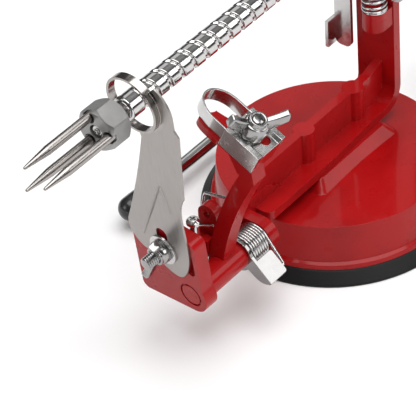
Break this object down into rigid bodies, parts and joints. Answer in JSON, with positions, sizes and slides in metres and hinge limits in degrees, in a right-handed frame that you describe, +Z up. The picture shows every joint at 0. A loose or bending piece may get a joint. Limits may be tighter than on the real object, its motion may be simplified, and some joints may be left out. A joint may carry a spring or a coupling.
{
  "type": "apple peeler corer",
  "caption": "Crank-driven apple peeler, corer and slicer: threaded feed shaft with a fork, spring-loaded peeling arm and slicing blade on a suction base.",
  "frame": {"origin": "centre of the suction pad's flat underside, on the surface it stands on", "axes": "+X forwards along the feed shaft from the crank to the fork, +Y to the side of the peeling arm, +Z up"},
  "size_m": [0.3013, 0.1236, 0.1424],
  "materials": {
    "red_enamel": "glossy enamel",
    "black_rubber": "satin",
    "bright_chrome": "polished plating",
    "brushed_stainless": "brushed",
    "cast_aluminium": "matte",
    "black_plastic": "moulded",
    "plated_steel": "zinc plated"
  },
  "bodies": {
    "base": {"suction_pad": "black_rubber", "base_dome": "red_enamel", "pad_plate": "plated_steel", "pad_stud": "plated_steel", "frame_casting": "red_enamel", "frame_screws": "plated_steel", "pivot_pin": "red_enamel", "stop_screw": "bright_chrome", "slicer_blade": "brushed_stainless", "slicer_bolt": "plated_steel", "slicer_washer": "plated_steel", "release_pin": "plated_steel", "release_spring": "bright_chrome", "arm_spring": "bright_chrome"},
    "suction lever": {"suction_lever": "bright_chrome", "suction_knob": "black_plastic"},
    "bush": {"shaft_bush": "plated_steel"},
    "feed shaft": {"screw_shaft": "bright_chrome", "fork_hub": "cast_aluminium", "fork_prongs": "bright_chrome", "fork_screw": "bright_chrome", "crank_arm": "bright_chrome", "crank_nut": "bright_chrome", "knob_spindle": "bright_chrome"},
    "crank knob": {"crank_knob": "black_plastic"},
    "release lever": {"release_lever": "brushed_stainless"},
    "peeling arm": {"peel_arm": "red_enamel", "arm_thumb_lever": "brushed_stainless", "peeling_blade": "brushed_stainless", "blade_clamp": "brushed_stainless", "blade_bolt": "plated_steel", "blade_washer": "plated_steel"},
    "blade nut": {"blade_wing_nut": "bright_chrome"},
    "slicer nut": {"slicer_wing_nut": "bright_chrome"}
  },
  "joints": [
    {"name": "suction lever turn", "type": "hinge", "parent": "base", "child": "suction lever", "pos_m": [0, 0, 0.01], "axis": [0, -1, 0], "range_deg": [0, 180]},
    {"name": "crank turn", "type": "hinge", "parent": "base", "child": "bush", "pos_m": [0, 0, 0.1292], "axis": [1, 0, 0], "range_deg": [-5213.79, 0]},
    {"name": "shaft travel", "type": "slide", "parent": "bush", "child": "feed shaft", "axis": [1, 0, 0], "range_m": [-0.105, 0]},
    {"name": "crank knob spin", "type": "hinge", "parent": "feed shaft", "child": "crank knob", "pos_m": [-0.1, 0, 0.0492], "axis": [1, 0, 0], "continuous": true},
    {"name": "release lever turn", "type": "hinge", "parent": "base", "child": "release lever", "pos_m": [-0.03, 0.0124, 0.096], "axis": [1, 0, 0], "range_deg": [0, 6], "stiffness_Nm_per_rad": 1, "springref_deg": -8.59, "deforming": ["release_spring"]},
    {"name": "peeling arm swing", "type": "hinge", "parent": "base", "child": "peeling arm", "pos_m": [0.09, 0.01107, 0.0309], "axis": [-1, 0, 0], "range_deg": [0, 40], "stiffness_Nm_per_rad": 0.3, "springref_deg": -34.38, "deforming": ["arm_spring"]},
    {"name": "blade nut turn", "type": "hinge", "parent": "peeling arm", "child": "blade nut", "pos_m": [0.0825, 0.02728, 0.10546], "axis": [0, 0.4478, 0.8942], "range_deg": [0, 180]},
    {"name": "slicer nut turn", "type": "hinge", "parent": "base", "child": "slicer nut", "pos_m": [0.1159, 0.00103, 0.05166], "axis": [0.9913, -0.081, -0.1035], "range_deg": [0, 180]}
  ],
  "couplings": [
    {"joint": "shaft travel", "follows": "crank turn", "m_per_rad": 0.0011539}
  ]
}
